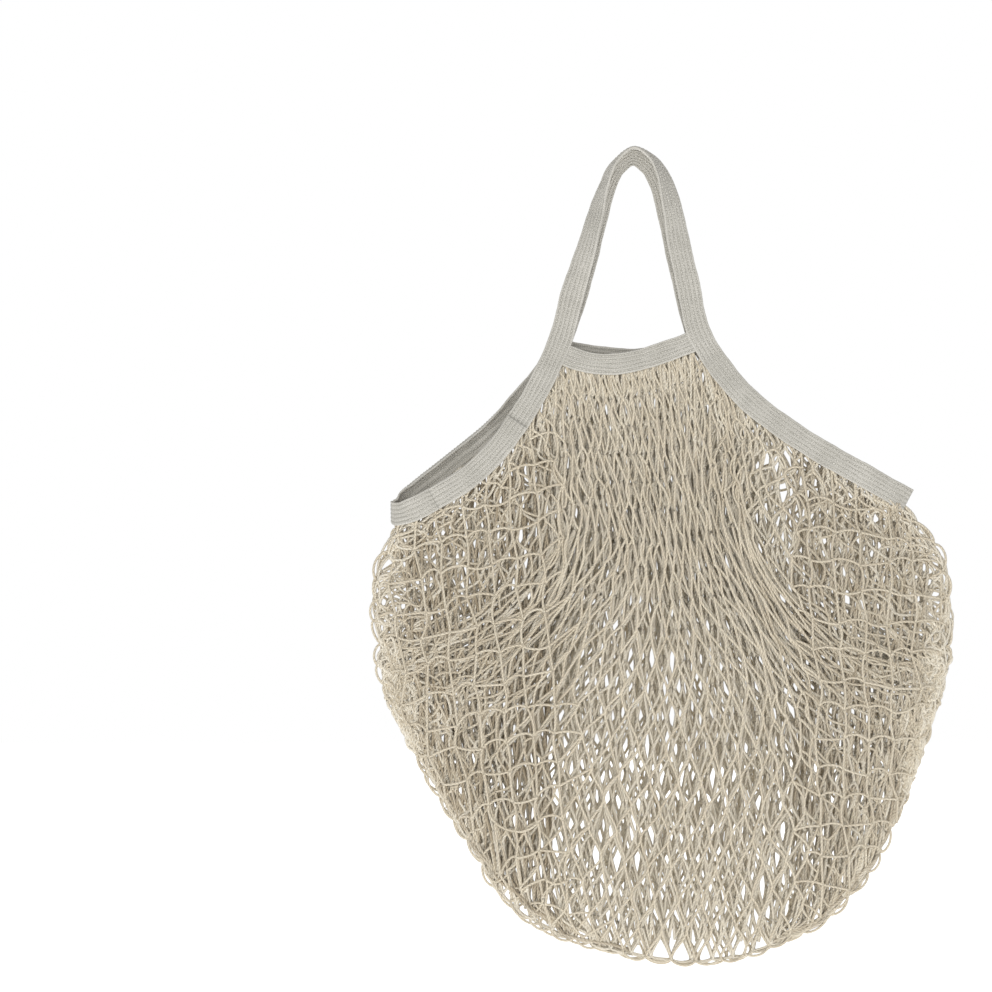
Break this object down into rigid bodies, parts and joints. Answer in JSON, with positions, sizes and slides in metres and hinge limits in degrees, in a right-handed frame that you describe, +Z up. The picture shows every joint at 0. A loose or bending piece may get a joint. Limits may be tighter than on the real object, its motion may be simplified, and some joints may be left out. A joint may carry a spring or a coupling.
{
  "type": "mesh produce bag",
  "caption": "Knotless cotton mesh produce bag with two gathered mouth bands and a folded tape that forms both side bindings and both short handles, hanging empty.",
  "frame": {"origin": "the point the bag hangs from, at the underside of the handles' top", "axes": "+Z up, the front of the bag faces -Y, +X to the right seen from the front"},
  "size_m": [0.4355, 0.052, 0.6138],
  "materials": {
    "net_cord": "matte undyed twisted cotton string",
    "tape": "matte undyed woven cotton tape",
    "thread": "matte cotton sewing thread"
  },
  "bodies": {
    "bag": {"net_front_middle": "net_cord", "net_front_left": "net_cord", "net_front_right": "net_cord", "net_front_far_right": "net_cord", "net_front_low": "net_cord", "net_front_bottom": "net_cord", "net_back_middle": "net_cord", "net_back_left": "net_cord", "net_back_right": "net_cord", "net_back_far_right": "net_cord", "net_back_low": "net_cord", "net_back_bottom": "net_cord", "front_mouth_band": "tape", "back_mouth_band": "tape", "front_left_binding": "tape", "front_right_binding": "tape", "back_left_binding": "tape", "back_right_binding": "tape", "left_side_turn": "tape", "right_side_fold": "tape", "splice_overlap": "tape", "front_left_stitching": "thread", "front_right_stitching": "thread", "back_left_stitching": "thread", "back_right_stitching": "thread", "splice_stitching": "thread", "front_band_stitching": "thread", "back_band_stitching": "thread"},
    "front_handle": {"front_handle_strap": "tape", "front_handle_stitching": "thread"},
    "back_handle": {"back_handle_strap": "tape", "back_handle_stitching": "thread"}
  },
  "joints": [
    {"name": "front_handle_fold", "type": "hinge", "parent": "bag", "child": "front_handle", "pos_m": [-0.056, -0.01, -0.1445], "axis": [0.9986, 0, 0.0523], "range_deg": [0, 165]},
    {"name": "back_handle_fold", "type": "hinge", "parent": "bag", "child": "back_handle", "pos_m": [-0.056, 0.01, -0.1445], "axis": [0.9986, 0, 0.0523], "range_deg": [-165, 0]}
  ]
}
